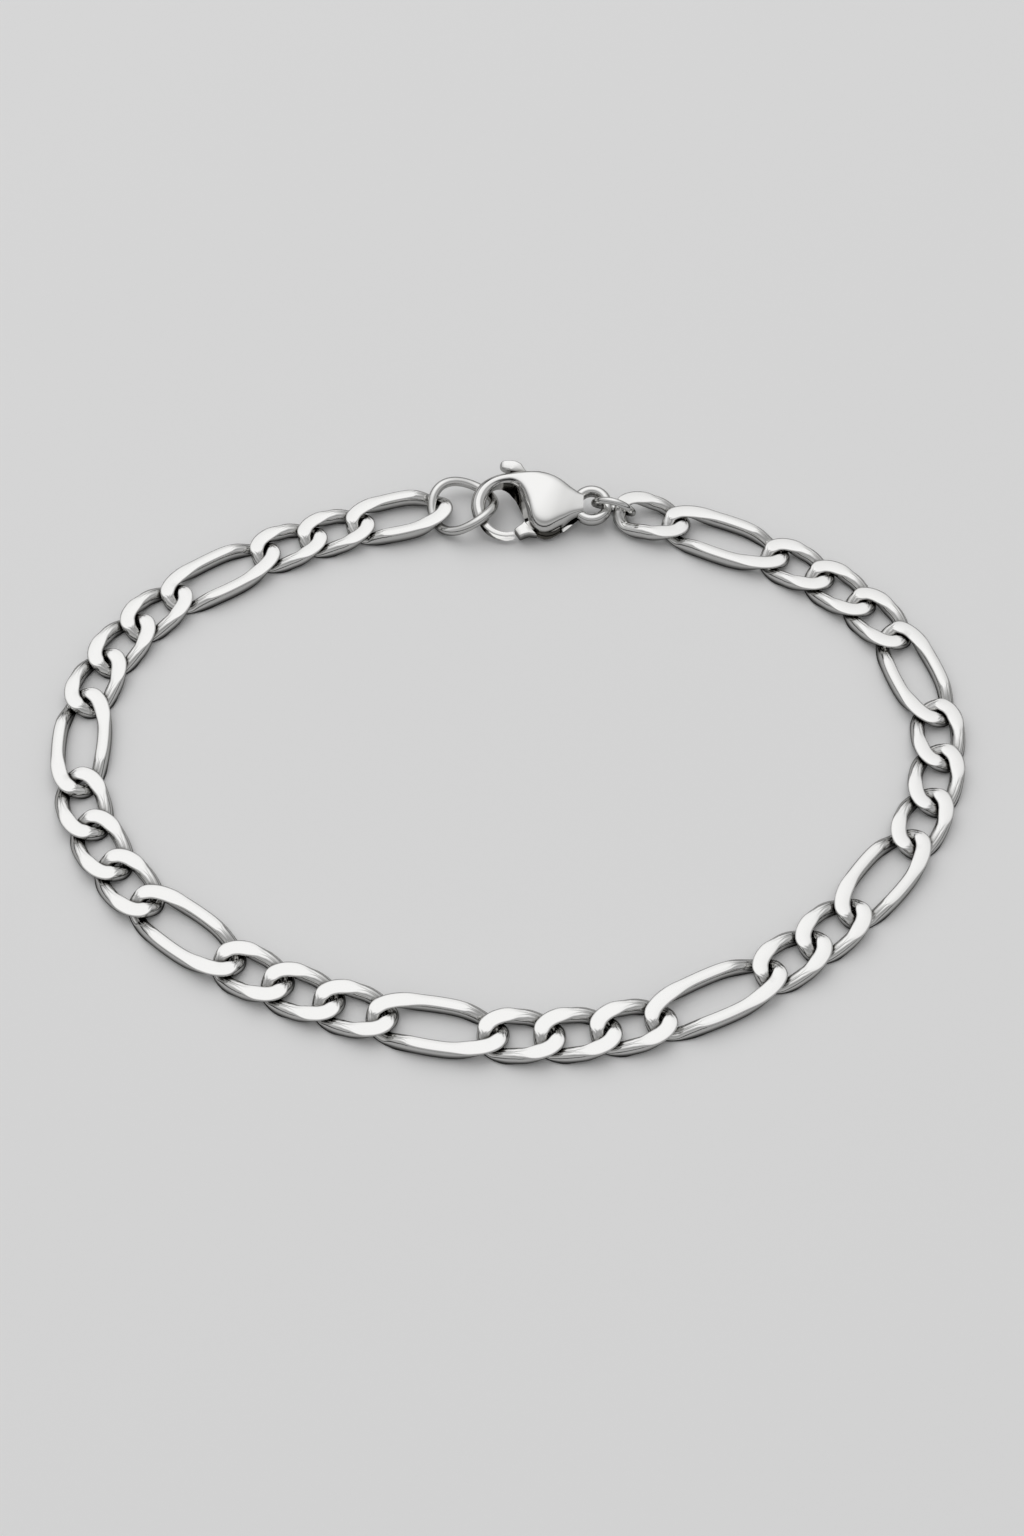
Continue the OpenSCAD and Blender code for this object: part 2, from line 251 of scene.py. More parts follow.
def crisp_edges(bm, angle):
    """Smooth faces with sharp edges where two faces meet at more than the angle."""
    for face in bm.faces:
        face.smooth = True
    for edge in bm.edges:
        if len(edge.link_faces) == 2:
            edge.smooth = edge.calc_face_angle(0.0) < angle


def add_object(name, data):
    made = bpy.data.objects.new(name, data)
    bpy.context.scene.collection.objects.link(made)
    return made


def mesh_object(bm, name):
    """Turns a bmesh into an object and frees it."""
    mesh = bpy.data.meshes.new(name)
    bm.to_mesh(mesh)
    bm.free()
    return add_object(name, mesh)


def finish_piece(bm, name, matrix, body, stands_for, slot):
    """Puts a bmesh in place as a named piece that rides on a body."""
    bmesh.ops.transform(bm, matrix=matrix @ Matrix.Scale(MM, 4), verts=bm.verts[:])
    piece = mesh_object(bm, name)
    piece.data.materials.append(steels()[slot])
    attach(piece, body)
    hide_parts(*stands_for)
    return piece


def node_points(name):
    """The different corners of a CAD node, in millimetres."""
    corners = np.array([vert.co for vert in NODES[name].data.vertices]) / MM
    return np.unique(corners.round(4), axis=0)


def own_axes(points):
    """Middle of the points and the directions in which they spread most, less and least."""
    middle = points.mean(axis=0)
    spread = np.linalg.eigh(np.cov((points - middle).T))[1][:, ::-1]
    return middle, spread


def facing_up(direction):
    """The direction or its opposite, whichever points up."""
    up = Vector(direction)
    return -up if up.z < 0 else up


def placed(middle, ahead, up):
    """Matrix that sets a piece at middle, given in millimetres, with X ahead and Z up."""
    z = Vector(up).normalized()
    x = Vector(ahead) - Vector(ahead).dot(z) * z
    x.normalize()
    y = z.cross(x)
    turn = Matrix((x, y, z)).transposed().to_4x4()
    return Matrix.Translation(Vector(middle) * MM) @ turn


# Steel: shared effects are node groups, and each material places them with its own values

def new_group(name, inputs, outputs):
    group = bpy.data.node_groups.new(name, "ShaderNodeTree")
    for label, kind, default in inputs:
        socket = group.interface.new_socket(name=label, in_out="INPUT", socket_type=kind)
        if default is not None:
            socket.default_value = default
    for label, kind in outputs:
        group.interface.new_socket(name=label, in_out="OUTPUT", socket_type=kind)
    return group, group.nodes.new("NodeGroupInput"), group.nodes.new("NodeGroupOutput")


def feed(tree, socket, value):
    """Links a socket to an output, or sets it to a value."""
    if isinstance(value, bpy.types.NodeSocket):
        tree.links.new(value, socket)
    else:
        socket.default_value = value


def math_node(tree, operation, a, b, clamp=False):
    node = tree.nodes.new("ShaderNodeMath")
    node.operation = operation
    node.use_clamp = clamp
    feed(tree, node.inputs[0], a)
    feed(tree, node.inputs[1], b)
    return node.outputs[0]


def mix_node(tree, factor, a, b):
    """A colour between a and b, each an output or a colour of three parts."""
    node = tree.nodes.new("ShaderNodeMix")
    node.data_type = "RGBA"
    tree.links.new(factor, node.inputs["Factor"])
    for label, value in (("A", a), ("B", b)):
        feed(tree, node.inputs[label], value if isinstance(value, bpy.types.NodeSocket) else (*value, 1))
    return node.outputs["Result"]


def bump_node(tree, shader, height, strength, distance):
    """Bumps the shader's surface by a height."""
    bump = tree.nodes.new("ShaderNodeBump")
    bump.inputs["Strength"].default_value = strength
    bump.inputs["Distance"].default_value = distance
    tree.links.new(height, bump.inputs["Height"])
    tree.links.new(bump.outputs["Normal"], shader.inputs["Normal"])


def attribute_node(tree, name):
    node = tree.nodes.new("ShaderNodeAttribute")
    node.attribute_name = name
    return node.outputs["Fac"]


def group_node(tree, group, vector, scale):
    """Places a shared effect with its own scale."""
    node = tree.nodes.new("ShaderNodeGroup")
    node.node_tree = group
    node.inputs["Scale"].default_value = scale
    tree.links.new(vector, node.inputs["Vector"])
    return node


def noise_node(tree, vector, scale, detail, stretch=(1, 1, 1), turn=(0, 0, 0)):
    """Noise on the given coordinates, stretched and turned by a Mapping node."""
    mapping = tree.nodes.new("ShaderNodeMapping")
    mapping.inputs["Scale"].default_value = stretch
    mapping.inputs["Rotation"].default_value = turn
    tree.links.new(vector, mapping.inputs["Vector"])
    noise = tree.nodes.new("ShaderNodeTexNoise")
    noise.inputs["Detail"].default_value = detail
    tree.links.new(mapping.outputs[0], noise.inputs["Vector"])
    feed(tree, noise.inputs["Scale"], scale)
    return noise.outputs["Fac"]


def ramp_node(tree, value, low, high):
    """0 below low, 1 above high, and a straight ramp between."""
    node = tree.nodes.new("ShaderNodeMapRange")
    node.clamp = True
    tree.links.new(value, node.inputs["Value"])
    node.inputs["From Min"].default_value = low
    node.inputs["From Max"].default_value = high
    return node.outputs["Result"]


def new_material(name):
    """A material with its node tree and its shader."""
    material = bpy.data.materials.new(name)
    material.use_nodes = True
    return material, material.node_tree, material.node_tree.nodes["Principled BSDF"]


def hairlines_group():
    """Fine crossing scratches left by polishing and wear."""
    group, given, result = new_group(
        "hairlines",
        [("Vector", "NodeSocketVector", None), ("Scale", "NodeSocketFloat", 900.0)],
        [("Height", "NodeSocketFloat"), ("Mask", "NodeSocketFloat")])
    vector, scale = given.outputs["Vector"], given.outputs["Scale"]
    one_way = noise_node(group, vector, scale, 2.0, (1, 14, 1), (0.3, 0.2, 0.5))
    other_way = noise_node(group, vector, scale, 2.0, (16, 1, 1), (0.1, 0.7, 0.2))
    height = math_node(group, "ADD", one_way, other_way)
    thin = ramp_node(group, height, 1.16, 1.34)
    group.links.new(height, result.inputs["Height"])
    group.links.new(thin, result.inputs["Mask"])
    return group


def handling_group():
    """Broad soft patches where handling has dulled the polish."""
    group, given, result = new_group(
        "handling",
        [("Vector", "NodeSocketVector", None), ("Scale", "NodeSocketFloat", 300.0)],
        [("Mask", "NodeSocketFloat")])
    broad = noise_node(group, given.outputs["Vector"], given.outputs["Scale"], 3.0)
    fine_scale = math_node(group, "MULTIPLY", given.outputs["Scale"], 7.0)
    fine = noise_node(group, given.outputs["Vector"], fine_scale, 4.0)
    blend = math_node(group, "ADD", broad, math_node(group, "MULTIPLY", fine, 0.35))
    group.links.new(ramp_node(group, blend, 0.55, 0.85), result.inputs["Mask"])
    return group


# Dulled patches' scale, as a share of the scratches'
PATCH_SCALE = 0.3
# What patches, scratches and wear add to the roughness, as shares of it
PATCH_ROUGHNESS = 0.5
SCRATCH_ROUGHNESS = 0.6
WEAR_ROUGHNESS = -0.35


def steel(name, groups, finish, roughness, scratch_scale, scratch_depth, dulling):
    """A polished steel with scratches, dulled patches, worn edges and painted shade in its recesses."""
    _, tree, shader = new_material(name)
    shader.inputs["Metallic"].default_value = 1.0
    shader.inputs["Specular Tint"].default_value = (*finish.edge, 1)
    place = tree.nodes.new("ShaderNodeTexCoord").outputs["Object"]
    scratches = group_node(tree, groups["hairlines"], place, scratch_scale)
    patches = group_node(tree, groups["handling"], place, scratch_scale * PATCH_SCALE)
    wear = attribute_node(tree, "wear")

    dull = math_node(tree, "MULTIPLY", patches.outputs["Mask"], dulling)
    unworn = math_node(tree, "SUBTRACT", 1.0, wear, clamp=True)
    dulled = math_node(tree, "MULTIPLY", dull, unworn, clamp=True)
    handled = mix_node(tree, dulled, finish.polished, finish.dulled)
    # Painted shade: the base colour is darkened where pieces nearly touch, near the surface and inside
    # cavities
    with_painted_shade = mix_node(tree, attribute_node(tree, "painted_shade"), handled, finish.painted_shade)
    tree.links.new(with_painted_shade, shader.inputs["Base Color"])

    patched = math_node(tree, "MULTIPLY", patches.outputs["Mask"], roughness * PATCH_ROUGHNESS)
    scratched = math_node(tree, "MULTIPLY", scratches.outputs["Mask"], roughness * SCRATCH_ROUGHNESS)
    rough = math_node(tree, "ADD", math_node(tree, "ADD", patched, scratched), roughness)
    worn = math_node(tree, "MULTIPLY", wear, WEAR_ROUGHNESS * roughness)
    tree.links.new(math_node(tree, "ADD", rough, worn, clamp=True), shader.inputs["Roughness"])
    bump_node(tree, shader, scratches.outputs["Height"], 1.0, scratch_depth)


# Each slot's steel: roughness as a share of the best polish, its scratches' scale and depth in metres,
# and its share of dulling
STEELS = {
    "link_steel": (1.0, 900.0, 0.0000006, 0.5),
    "ring_steel": (1.25, 1200.0, 0.0000006, 0.6),
    "clasp_steel": (1.1, 700.0, 0.0000008, 0.5),
    "lever_steel": (1.3, 1000.0, 0.0000006, 0.4),
}


def steels():
    """The four steels, made once: one for each material slot of the record."""
    if "hairlines" not in bpy.data.node_groups:
        groups = {"hairlines": hairlines_group(), "handling": handling_group()}
        finish = bpy.context.scene.bracelet_finish
        for name, (roughness, scale, depth, dulling) in STEELS.items():
            steel("polished_" + name, groups, finish, finish.gloss * roughness, scale, depth, dulling)
    return {name: bpy.data.materials["polished_" + name] for name in STEELS}


def mark_wear(piece, share_of):
    """Stores how worn each corner is, for the steel to read."""
    layer = piece.data.attributes.new("wear", "FLOAT", "POINT")
    layer.data.foreach_set("value", [share_of(vert) for vert in piece.data.vertices])


# Links

OVAL = 2.25
SECTION_OVAL = 2.25
LINK_SIDES = 28
SIDE_CORNERS = 9
# Places across half a flat, as shares of its half width
FLAT_PLACES = (1.0, 0.8, 0.0, -0.8, -1.0)
# How far a flat's middle stands above its edges
FLAT_CROWN = 0.045
SMALL_STEPS = 96
LONG_STEPS = 144
# How late an arm leaves its level middle: 1 is a plain wave, and more is later
SMALL_LATENESS = 1.7
LONG_LATENESS = 4.5
# How much wider the wire is where it rises over its neighbour, and how suddenly it widens
RISE_SPREAD = 0.1
RISE_POWER = 1.5
# Sines of the turns between which a link's end becomes its arm
END_TO_ARM = (0.6, 0.95)
# Narrowest strip kept along the top of a wire, as a share of its half width
LEAST_FLAT = 0.12
# What the frame's straight-sided link lacks of the round one's half length
CORNER_LOSS = 0.02
CAD_WIRE = 1.25
# Where a link's worn top begins and how far it takes to wear fully, as shares of its half thickness
WEAR_FROM = 0.55
WEAR_OVER = 0.5
LINK_CREASE = math.radians(80)


def link_line(angle, half_l, half_w, twist, arm_lateness):
    """The wire's centreline: an oval that rises and dips beside each end and runs level along its arms."""
    c, s = math.cos(angle), math.sin(angle)
    wave = -math.sin(2 * angle)
    lateness = arm_lateness if abs(s) > abs(c) else 1
    return Vector((half_l * power(c, 2 / OVAL), half_w * power(s, 2 / OVAL), twist * power(wave, lateness)))


def oval_angle(height, half_h):
    """Angle at which a section reaches a height."""
    share = min(max(height / half_h, -1.0), 1.0)
    return math.asin(power(share, SECTION_OVAL / 2))


def ground_corner(corner, half_w, half_h, low, high, edge):
    """A corner of a wire's section, ground flat below low and above high: across and up."""
    across = lambda a: half_w * power(math.cos(a), 2 / SECTION_OVAL)
    upward = lambda a: half_h * power(math.sin(a), 2 / SECTION_OVAL)
    least = LEAST_FLAT * half_w
    least_angle = math.acos(LEAST_FLAT ** (SECTION_OVAL / 2))
    top = min(oval_angle(high, half_h), least_angle)
    bottom = max(oval_angle(low, half_h), -least_angle)
    middle = SIDE_CORNERS // 2
    half_turn = LINK_SIDES // 2
    place = (corner + middle) % LINK_SIDES
    if place >= half_turn:
        place -= half_turn
        left = True
    else:
        left = False
    if place < SIDE_CORNERS:
        share = place / (SIDE_CORNERS - 1)
        slip = (edge + FLAT_CROWN) / half_h
        if left:
            share = 1 - share
        angle = mix(bottom + slip, top - slip, share)
        x, z = across(angle), upward(angle)
        return (-x if left else x), z
    k = place - SIDE_CORNERS
    if left:
        reach = max(across(bottom) - edge, least)
        x = -reach * FLAT_PLACES[k]
        z = max(-half_h * (1 - (abs(x) / half_w) ** SECTION_OVAL) ** (1 / SECTION_OVAL), low)
        return x, z + FLAT_CROWN * FLAT_PLACES[k] ** 2
    reach = max(across(top) - edge, least)
    x = reach * FLAT_PLACES[k]
    z = min(half_h * (1 - (abs(x) / half_w) ** SECTION_OVAL) ** (1 / SECTION_OVAL), high)
    return x, z - FLAT_CROWN * FLAT_PLACES[k] ** 2


def link_mesh(half_l, half_w, crown, sizes, steps, lateness):
    """A twisted link, ground flat above and below."""
    wire, end = sizes.wire_half / MM, sizes.end_crown / MM
    ground, twist, edge = sizes.ground_half / MM, sizes.twist / MM, sizes.edge / MM
    tiny = math.tau / steps / 8

    def place(turn, corner):
        angle = (turn + 0.5) * math.tau / steps
        behind, at, ahead = (link_line(angle + step, half_l, half_w, twist, lateness)
                             for step in (-tiny, 0, tiny))
        along = (ahead - behind).normalized()
        out = along.cross(Vector((0, 0, 1))).normalized()
        up = out.cross(along)
        arm = smooth_share(abs(math.sin(angle)), *END_TO_ARM)
        high = (ground - at.z) / up.z
        low = (-ground - at.z) / up.z
        wide = wire * (1 + RISE_SPREAD * max(at.z / twist, 0) ** RISE_POWER)
        x, z = ground_corner(corner, wide, mix(end, crown, arm), low, high, edge)
        return at + x * out + z * up

    return spun_loop(steps, LINK_SIDES, place)


class BRACELET_OT_links(bpy.types.Operator):
    """Builds the small and long links, each where the frame's own link lies"""
    bl_idname = "bracelet.links"
    bl_label = "Links"

    def execute(self, context):
        sizes = context.scene.bracelet_chain
        for name in LINK_NAMES:
            points = node_points(name)
            middle, spread = own_axes(points)
            ahead, up = Vector(spread[:, 0]), facing_up(spread[:, 2])
            if ahead.x * middle[1] - ahead.y * middle[0] < 0:
                ahead = -ahead
            reach = (points - middle) @ spread
            half_l = np.ptp(reach[:, 0]) / 2 - CAD_WIRE / 2 + CORNER_LOSS
            half_w = np.ptp(reach[:, 1]) / 2 - CAD_WIRE / 2
            long = name.startswith("link_long")
            crown = (sizes.long_crown if long else sizes.small_crown) / MM
            steps, lateness = (LONG_STEPS, LONG_LATENESS) if long else (SMALL_STEPS, SMALL_LATENESS)
            bm = link_mesh(half_l, half_w, crown, sizes, steps, lateness)
            crisp_edges(bm, LINK_CREASE)
            link = finish_piece(bm, "polished_" + name, placed(middle, ahead, up), FIXED,
                                (name,), "link_steel")
            low = middle[2] * MM + WEAR_FROM * sizes.ground_half
            mark_wear(link, lambda vert: smooth_share(vert.co.z, low, low + WEAR_OVER * sizes.ground_half))
        return {"FINISHED"}


# Jump rings

RING_SIDES = 24
RING_STEPS = 96
# The large ring's width as a share of its length, and its place from its frame's
LARGE_RING_ACROSS = 0.95
LARGE_RING_SHIFT = (0.02, 0.1, 0.0)
# Turn of the small ring's length from the clasp's line, and its slope along that length
SMALL_RING_TURN = math.radians(-15)
SMALL_RING_SLOPE = -0.06
# How much smaller the small ring's radius is than its frame's, its place from its frame's, and its
# height over the surface
SMALL_RING_LESS = 0.07
SMALL_RING_SHIFT = (-0.08, 0.02)
SMALL_RING_CLEAR = 0.01
# Angles round the rings at which their ends meet
LARGE_RING_SPLIT = math.radians(196)
SMALL_RING_SPLIT = math.radians(80)
# How much thinner the wire is inside the split, as a share of the split's width
SPLIT_DEPTH = 0.6
RING_WEAR = 0.4
RING_CREASE = math.radians(60)


def split_turn(turn, steps, at, half_angle):
    """Angle of a turn, with the first three gathered at the split and the rest spread evenly."""
    if turn < 3:
        return at + (turn - 1) * half_angle
    return at + half_angle + (turn - 2) / (steps - 2) * (math.tau - 2 * half_angle)


class BRACELET_OT_jump_rings(bpy.types.Operator):
    """Builds the large and the small jump ring, with the hairline where their ends meet"""
    bl_idname = "bracelet.jump_rings"
    bl_label = "Jump rings"

    def execute(self, context):
        sizes = context.scene.bracelet_rings
        ahead, _ = clasp_axes()

        points = node_points("jump_ring_large")
        middle = points.mean(axis=0)
        flat = points - middle
        slope = np.linalg.lstsq(flat[:, :2], flat[:, 2], rcond=None)[0]
        upright = Vector((-slope[0], -slope[1], 1)).normalized()
        wire = sizes.large_wire / MM / 2
        radius = np.hypot(flat[:, 0], flat[:, 1]).max() - wire
        twist, saddle = sizes.large_twist / MM, sizes.small_saddle / MM
        bm = self.ring(radius, LARGE_RING_ACROSS, wire, lambda angle: -twist * math.sin(2 * angle),
                       LARGE_RING_SPLIT, sizes.split / MM)
        middle += LARGE_RING_SHIFT
        piece = finish_piece(bm, "polished_ring_large", placed(middle, ahead, upright), FIXED,
                             ("jump_ring_large",), "ring_steel")
        mark_wear(piece, lambda vert: RING_WEAR)

        points = node_points("jump_ring_small")
        spread = own_axes(points)[1]
        middle = (points.max(axis=0) + points.min(axis=0)) / 2
        wire = sizes.small_wire / MM / 2
        radius = np.linalg.norm(points - middle, axis=1).max() - wire - SMALL_RING_LESS
        bm = self.ring(radius, 1.0, wire, lambda angle: -saddle * math.cos(2 * angle),
                       SMALL_RING_SPLIT, sizes.split / MM)
        turn = Matrix.Rotation(SMALL_RING_TURN, 3, "Z")
        upright = turn @ Matrix.Rotation(sizes.small_lean, 3, ahead) @ facing_up(spread[:, 2])
        run = turn @ ahead
        run.z = SMALL_RING_SLOPE
        drop = radius * math.hypot(upright.x, upright.y) + wire - saddle * upright.z
        seat = (middle[0] + SMALL_RING_SHIFT[0], middle[1] + SMALL_RING_SHIFT[1], drop + SMALL_RING_CLEAR)
        piece = finish_piece(bm, "polished_ring_small", placed(seat, run, upright), FIXED,
                             ("jump_ring_small",), "ring_steel")
        mark_wear(piece, lambda vert: RING_WEAR)
        return {"FINISHED"}

    @staticmethod
    def ring(radius, across, wire, rise, split_at, split):
        """A ring whose wire rises out of its plane by rise(angle)."""
        half_angle = split / radius / 2
        tiny = 0.005

        def line(angle):
            return Vector((radius * math.cos(angle), radius * across * math.sin(angle), rise(angle)))

        def place(turn, corner):
            angle = split_turn(turn, RING_STEPS, split_at, half_angle)
            along = (line(angle + tiny) - line(angle - tiny)).normalized()
            out = along.cross(Vector((0, 0, 1))).normalized()
            up = out.cross(along)
            r = wire - split * SPLIT_DEPTH if turn == 1 else wire
            side = corner * math.tau / RING_SIDES
            return line(angle) + r * (math.cos(side) * out + math.sin(side) * up)

        bm = spun_loop(RING_STEPS, RING_SIDES, place)
        crisp_edges(bm, RING_CREASE)
        return bm


# Clasp

# Sections of the body from the hook's tip round to the neck, each from its outer to its inner edge.
# Columns: outer x, outer y, inner x, inner y, half height, as shares of the clasp's length, width,
# length, width and thickness
SECTIONS = [
    [-0.168, -0.515, -0.175, -0.345, 0.17],
    [-0.250, -0.545, -0.248, -0.370, 0.19],
    [-0.343, -0.508, -0.316, -0.325, 0.195],
    [-0.422, -0.394, -0.359, -0.240, 0.2],
    [-0.476, -0.212, -0.385, -0.129, 0.2],
    [-0.500, 0.000, -0.398, 0.000, 0.2],
    [-0.472, 0.205, -0.380, 0.129, 0.21],
    [-0.406, 0.348, -0.339, 0.220, 0.23],
    [-0.312, 0.435, -0.285, 0.275, 0.27],
    [-0.202, 0.475, -0.218, 0.275, 0.33],
    [-0.100, 0.485, -0.158, 0.182, 0.41],
    [0.010, 0.465, -0.119, -0.030, 0.47],
    [0.086, 0.415, -0.067, -0.335, 0.5],
    [0.145, 0.350, 0.027, -0.425, 0.48],
    [0.204, 0.266, 0.140, -0.320, 0.42],
    [0.255, 0.203, 0.226, -0.195, 0.36],
    [0.294, 0.188, 0.294, -0.135, 0.31],
]
# Sections drawn from one row to the next
SECTION_FILL = 5
BODY_SIDES = 64
SHOULDER_STEPS = 7
CROWN_STEPS = 9
SHOULDER_TURN = math.radians(62)
# Least place of the crease between crown and shoulder, as a share of the half width, and its height on
# thin wire and on the bulb, as shares of the half height
LEAST_CREASE = 0.35
CREASE_HEIGHTS = (0.93, 0.8)
# How far the eye lies beside the clasp's middle line
EYE_SIDE = 0.15
# Places in the clasp's plane, as shares of its length and width
PIVOT_SHARE = (0.069, -0.106)
GATE_TIP = (-0.170, -0.435)
THUMB_ROOT = (-0.175, 0.558)
THUMB_END = (-0.240, 0.562)
# Rings of corners that round off the hook's tip, the turn that they make and how far it reaches
TIP_RINGS = 4
TIP_TURN = math.radians(66)
TIP_REACH = 0.24
# Shoulders of the hook, of the bulb's outer side and of the neck
HOOK_SHOULDER = 0.42
OUTER_SHOULDER = 0.24
NECK_SHOULDER = 0.26
# Where the underside is cut back inside, at the top and at the right: the rows between which each cut
# grows and those between which it fades; and how deep it is
UNDERCUTS = [((7.6, 9.6), (11.6, 12.6)), ((6.8, 8.6), (10, 11.6)), ((11.8, 13.8), (14.4, 15.9))]
INSIDE_CUT, TOP_CUT, RIGHT_CUT = 0.5, 0.35, 0.52
EYE_STEPS = 96
EYE_SIDES = 24
EYE_ROUNDNESS = 0.9
# Radii of the pin's bore in the body and in the lever, and of the room for the lever's hub
BODY_BORE = 0.41
LEVER_BORE = 0.43
HUB_ROOM = 1.05
# Half the length of the pin's bore
BORE_HALF = 1.12
# Half width of the slots, how far the lever turns in them, and the angles of the gate slot's other edge
SLOT_SIDE = 0.62
OPENING = math.radians(22)
GATE_SLOT_EDGE = (math.radians(-60), math.radians(-52))
# Rows between which the bulb is hollow and between which a wedge is cut under its lower edge, the depths
# of both, the hollow's height as a share of the bulb's, and the wedge's as shares of the slot's
HOLLOW_ROWS = (7.8, 12.2)
WEDGE_ROWS = (13.5, 15.6)
HOLLOW_DEPTHS = (0.15, 1.0)
WEDGE_DEPTHS = (0.35, 0.75)
HOLLOW_HEIGHT = 0.88
WEDGE_HEIGHTS = (0.12, 0.8)
WEDGE_DROP = 0.12
GROOVE_STEPS = 20
# How far a groove's block stands out of the body
GROOVE_RIM = 0.9
# Thickness of the lower shell under the hollow
SHELL_WALL = 0.2
# Heights between which the body's face is worn
WORN_HEIGHTS = (2.0 * MM, 3.0 * MM)
LEVER_SIDES = 24
LEVER_WEAR = 0.5
BODY_CREASE = math.radians(38)
LEVER_CREASE = math.radians(40)
# How square the lever's section is: a lower number is squarer
LEVER_SQUARENESS = 0.3
# Direction in which the thumb nub points
NUB_WAY = math.radians(178)
# Slope of the gate's top, down to its far side
GATE_SLOPE = 0.16
# Outline of the lever's heel under the bulb: angle and distance from the pivot
HEEL = [(150, 0.7), (206, 2.0), (216, 2.25), (226, 2.22), (236, 2.16), (246, 2.1), (256, 2.05),
        (266, 1.97), (276, 1.88), (285, 1.8), (293, 1.74), (300, 1.7), (303, 0.8), (60, 0.7)]


def clasp_axes():
    """Direction along the clasp and up out of its face, from the hinge."""
    up = facing_up(HINGE["axis"]).normalized()
    heading = math.asin(up.x / math.hypot(up.x, up.y))
    return Vector((math.cos(heading), math.sin(heading), 0)), up


def plane_points(sizes, *places):
    """Places in the clasp's plane, in millimetres."""
    length, width = sizes.length / MM, sizes.width / MM
    return [Vector((along * length, across * width)) for along, across in places]


def clasp_place(sizes):
    """Matrix of the clasp's own plane, its middle at the origin."""
    ahead, up = clasp_axes()
    turn = placed((0, 0, 0), ahead, up)
    pivot = Vector((PIVOT_SHARE[0] * sizes.length, PIVOT_SHARE[1] * sizes.width, 0))
    return Matrix.Translation(Vector(HINGE["pos_m"]) - turn @ pivot) @ turn


def between_rows(rows, place):
    """A row of the table at a place between its rows, on a smooth line through them."""
    last = len(rows) - 1
    i = min(int(place), last - 1)
    u = place - i
    p0, p1, p2, p3 = (np.array(rows[min(max(k, 0), last)]) for k in (i - 1, i, i + 1, i + 2))
    row = (p1 + u * (p2 - p0) / 2 + u * u * (2 * p0 - 5 * p1 + 4 * p2 - p3) / 2
           + u ** 3 * (3 * p1 - p0 - 3 * p2 + p3) / 2)
    return row.tolist()


def crowned_corner(corner, half_w, outer_shoulder, inner_shoulder):
    """A corner of the body's section: a crowned face and a rounded shoulder down to each side."""
    quarter = BODY_SIDES // 4
    flip_x = 1 if corner <= quarter or corner > 3 * quarter else -1
    flip_z = 1 if corner <= 2 * quarter else -1
    k = corner % (2 * quarter)
    k = min(k, 2 * quarter - k)
    shoulder = outer_shoulder if flip_x > 0 else inner_shoulder
    crease = max(LEAST_CREASE, 1 - shoulder / half_w)
    crease_height = mix(*CREASE_HEIGHTS, smooth_share(half_w, 0.7, 2.0))
    if k <= SHOULDER_STEPS:
        turn = SHOULDER_TURN * k / SHOULDER_STEPS
        least = math.cos(SHOULDER_TURN)
        x = crease + (1 - crease) * (math.cos(turn) - least) / (1 - least)
        z = crease_height * math.sin(turn) / math.sin(SHOULDER_TURN)
    else:
        share = 1 - ((k - SHOULDER_STEPS) / CROWN_STEPS) ** 1.5
        x = crease * share
        z = 1 - (1 - crease_height) * (0.3 * share ** 2 + 0.7 * share ** 8)
    return flip_x * x, flip_z * z


def apply_boolean(bm, others, operation):
    """Joins or cuts the bmesh with the others, and gives back one bmesh."""
    base = mesh_object(bm, "cut_base")
    tools = [mesh_object(other, "cut_tool") for other in others]
    for tool in tools:
        modifier = base.modifiers.new("cut", "BOOLEAN")
        modifier.operation = operation
        modifier.solver = "EXACT"
        modifier.object = tool
    bpy.context.view_layer.update()
    evaluated = base.evaluated_get(bpy.context.evaluated_depsgraph_get())
    result = bmesh.new()
    result.from_mesh(evaluated.to_mesh())
    evaluated.to_mesh_clear()
    for made in [base, *tools]:
        mesh = made.data
        bpy.data.objects.remove(made)
        bpy.data.meshes.remove(mesh)
    return result


def prism(outline, half_height):
    """An upright block over an outline of points."""
    bm = bmesh.new()
    corners = [bm.verts.new((x, y, -half_height)) for x, y in outline]
    base = bm.faces.new(corners)
    made = bmesh.ops.extrude_face_region(bm, geom=[base])
    raised = [item for item in made["geom"] if isinstance(item, bmesh.types.BMVert)]
    bmesh.ops.translate(bm, verts=raised, vec=(0, 0, 2 * half_height))
    bmesh.ops.recalc_face_normals(bm, faces=bm.faces[:])
    return bm


def upright_round(radius, half_height, at):
    """An upright cylinder."""
    bm = bmesh.new()
    bmesh.ops.create_cone(bm, cap_ends=True, segments=48, radius1=radius, radius2=radius,
                          depth=2 * half_height, matrix=Matrix.Translation((at[0], at[1], 0)))
    return bm


